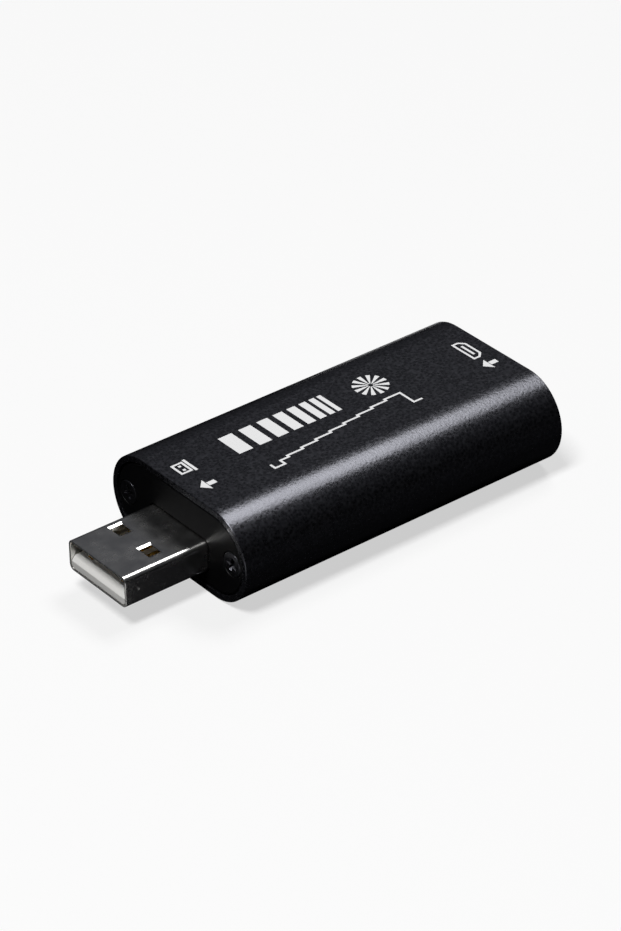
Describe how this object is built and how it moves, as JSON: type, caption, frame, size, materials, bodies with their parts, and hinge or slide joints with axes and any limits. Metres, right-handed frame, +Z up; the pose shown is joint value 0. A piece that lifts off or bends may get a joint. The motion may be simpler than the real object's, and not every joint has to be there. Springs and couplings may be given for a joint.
{
  "type": "video capture stick",
  "caption": "Stick-shaped video capture adapter: a round-sided anodised aluminium sleeve with screwed end plates, a flat data plug at one end and a video socket at the other.",
  "frame": {"origin": "centre of the bounding box on the resting face", "axes": "+X from the tip of the data plug to the video socket, +Y across the width, +Z up from the resting face"},
  "size_m": [0.0654, 0.028, 0.0132],
  "materials": {
    "black_anodised_aluminium": "bead-blasted and anodised black",
    "black_plate": "smooth satin black",
    "black_screw": "black oxide",
    "nickel_steel": "nickel plated, bright",
    "white_plastic": "moulded, satin",
    "black_plastic": "moulded, satin",
    "gold_plated": "gold plated",
    "green_board": "solder resist over glass-fibre laminate",
    "tinned_metal": "tin plated",
    "tan_ceramic": "fired, matt"
  },
  "bodies": {
    "root": {"body_sleeve": "black_anodised_aluminium", "plug_end_plate": "black_plate", "socket_end_plate": "black_plate", "plug_end_screws": "black_screw", "socket_end_screws": "black_screw", "circuit_board": "green_board", "plug_shell": "nickel_steel", "plug_insulator": "white_plastic", "plug_contacts": "gold_plated", "socket_shell": "nickel_steel", "socket_insulator": "black_plastic", "socket_upper_contacts": "gold_plated", "socket_lower_contacts": "gold_plated", "capture_chip": "black_plastic", "capture_chip_pads": "tinned_metal", "memory_chip": "black_plastic", "memory_chip_leads": "tinned_metal", "crystal_can": "tinned_metal", "crystal_base": "black_plastic", "crystal_leads": "tinned_metal", "voltage_regulators": "black_plastic", "regulator_leads": "tinned_metal", "capacitor_bodies": "tan_ceramic", "capacitor_ends": "tinned_metal", "resistor_bodies": "black_plastic", "resistor_ends": "tinned_metal"}
  },
  "joints": []
}
